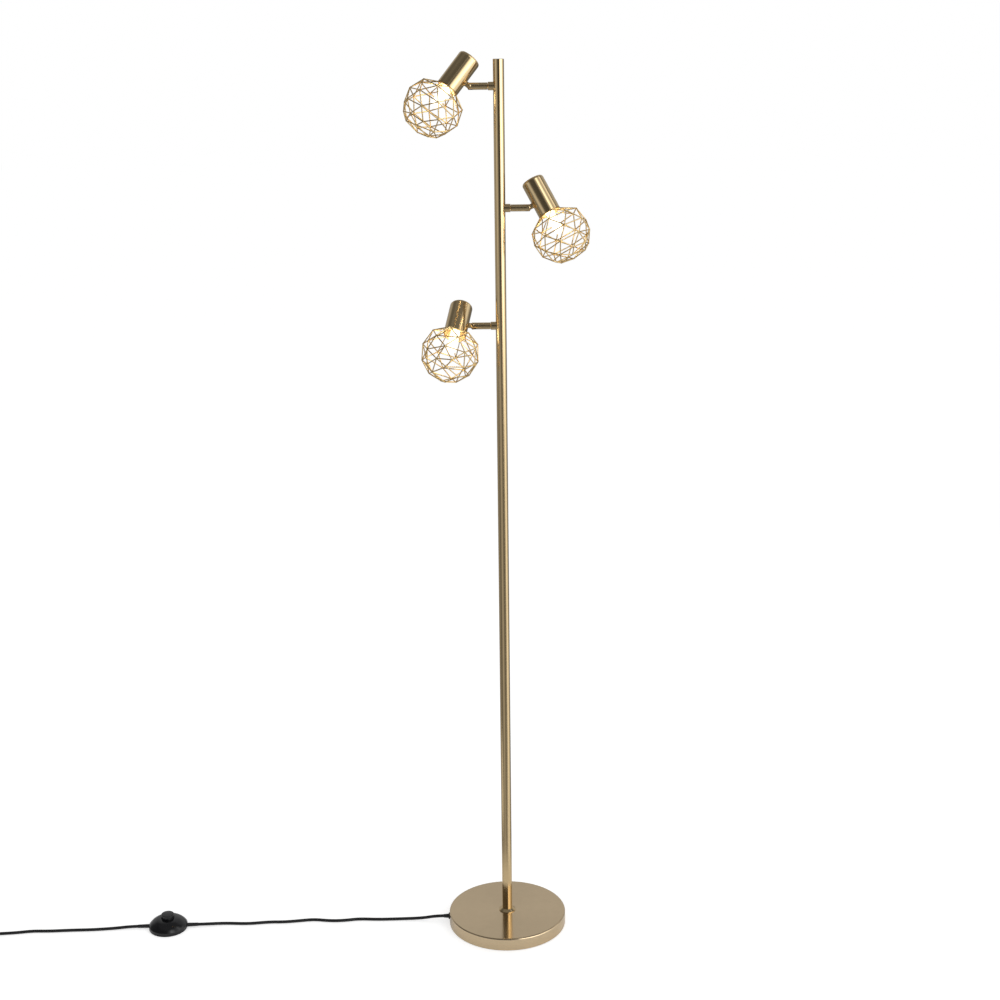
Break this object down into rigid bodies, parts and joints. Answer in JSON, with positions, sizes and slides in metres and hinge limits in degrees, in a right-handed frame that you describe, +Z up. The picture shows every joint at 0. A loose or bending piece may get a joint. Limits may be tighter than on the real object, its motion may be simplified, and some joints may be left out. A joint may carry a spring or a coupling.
{
  "type": "floor lamp",
  "caption": "Slender brass floor lamp on a round base: swivelling arms carry tilting cups, each with a capsule bulb in a ball of welded wire triangles.",
  "frame": {"origin": "centre of the round base, on the floor", "axes": "+Z up the pole, -X towards the top arm and the cord, -Y towards the front"},
  "size_m": [1.2657, 0.213, 1.5525],
  "materials": {
    "brass_cover": "spun, satin lacquer",
    "brass_satin": "satin lacquer",
    "brass_wire": "satin lacquer, welded",
    "iron": "rough cast",
    "foam": "closed-cell foam",
    "steel": "zinc plated",
    "pin_steel": "polished",
    "black_cord": "satin sheath",
    "black_rubber": "moulded",
    "black_plastic": "satin moulded",
    "block_plastic": "moulded",
    "ceramic": "glazed ceramic",
    "bulb": "frosted, lit"
  },
  "bodies": {
    "root": {"base_cover": "brass_cover", "base_weight": "iron", "base_pad": "foam", "base_nipple": "steel", "base_nut": "steel", "foot_collar": "brass_satin", "foot_plug": "steel", "cable_bushing": "black_rubber", "lower_pole": "brass_satin", "middle_pole": "brass_satin", "upper_pole": "brass_satin", "pole_joiners": "steel", "pole_cap": "brass_satin", "inner_lead": "black_cord", "arm_collars": "brass_satin", "base_cord": "black_cord", "switch_cord": "black_cord", "cord_coil": "black_cord", "switch_housing": "black_plastic", "switch_base": "black_plastic", "switch_screws": "steel", "switch_block": "block_plastic", "switch_spring": "steel", "switch_guards": "black_rubber", "plug_body": "black_plastic", "plug_pins": "pin_steel"},
    "switch_button": {"switch_button": "black_plastic"},
    "arm_1": {"arm_1": "brass_satin", "arm_clip_1": "steel", "knuckle_screw_1": "brass_satin"},
    "head_1": {"lug_1": "brass_satin", "holder_1": "brass_satin", "socket_bracket_1": "steel", "lampholder_1": "ceramic", "head_fasteners_1": "steel", "bulb_glass_1": "bulb", "bulb_pins_1": "pin_steel", "wire_cage_1": "brass_wire"},
    "arm_2": {"arm_2": "brass_satin", "arm_clip_2": "steel", "knuckle_screw_2": "brass_satin"},
    "head_2": {"lug_2": "brass_satin", "holder_2": "brass_satin", "socket_bracket_2": "steel", "lampholder_2": "ceramic", "head_fasteners_2": "steel", "bulb_glass_2": "bulb", "bulb_pins_2": "pin_steel", "wire_cage_2": "brass_wire"},
    "arm_3": {"arm_3": "brass_satin", "arm_clip_3": "steel", "knuckle_screw_3": "brass_satin"},
    "head_3": {"lug_3": "brass_satin", "holder_3": "brass_satin", "socket_bracket_3": "steel", "lampholder_3": "ceramic", "head_fasteners_3": "steel", "bulb_glass_3": "bulb", "bulb_pins_3": "pin_steel", "wire_cage_3": "brass_wire"}
  },
  "joints": [
    {"name": "arm_swivel_1", "type": "hinge", "parent": "root", "child": "arm_1", "pos_m": [0, 0, 1.4978], "axis": [1, 0, 0], "range_deg": [-141, 179]},
    {"name": "head_tilt_1", "type": "hinge", "parent": "arm_1", "child": "head_1", "pos_m": [-0.047, 0, 1.4978], "axis": [0, 0.9455, -0.3256], "range_deg": [-47, 43]},
    {"name": "arm_swivel_2", "type": "hinge", "parent": "root", "child": "arm_2", "pos_m": [0, 0, 1.3036], "axis": [1, 0, 0], "range_deg": [-141, 179]},
    {"name": "head_tilt_2", "type": "hinge", "parent": "arm_2", "child": "head_2", "pos_m": [0.047, 0, 1.3036], "axis": [0, -0.9455, 0.3256], "range_deg": [-37.4, 52.6]},
    {"name": "arm_swivel_3", "type": "hinge", "parent": "root", "child": "arm_3", "pos_m": [0, 0, 1.1094], "axis": [1, 0, 0], "range_deg": [-113, 207]},
    {"name": "head_tilt_3", "type": "hinge", "parent": "arm_3", "child": "head_3", "pos_m": [-0.047, 0, 1.1094], "axis": [0, 0.682, -0.7314], "range_deg": [-20.5, 69.5]},
    {"name": "switch_press", "type": "slide", "parent": "root", "child": "switch_button", "axis": [0, 0, -1], "range_m": [0, 0.004], "stiffness_N_per_m": 900, "springref_m": -0.002, "deforming": ["switch_spring"]}
  ]
}
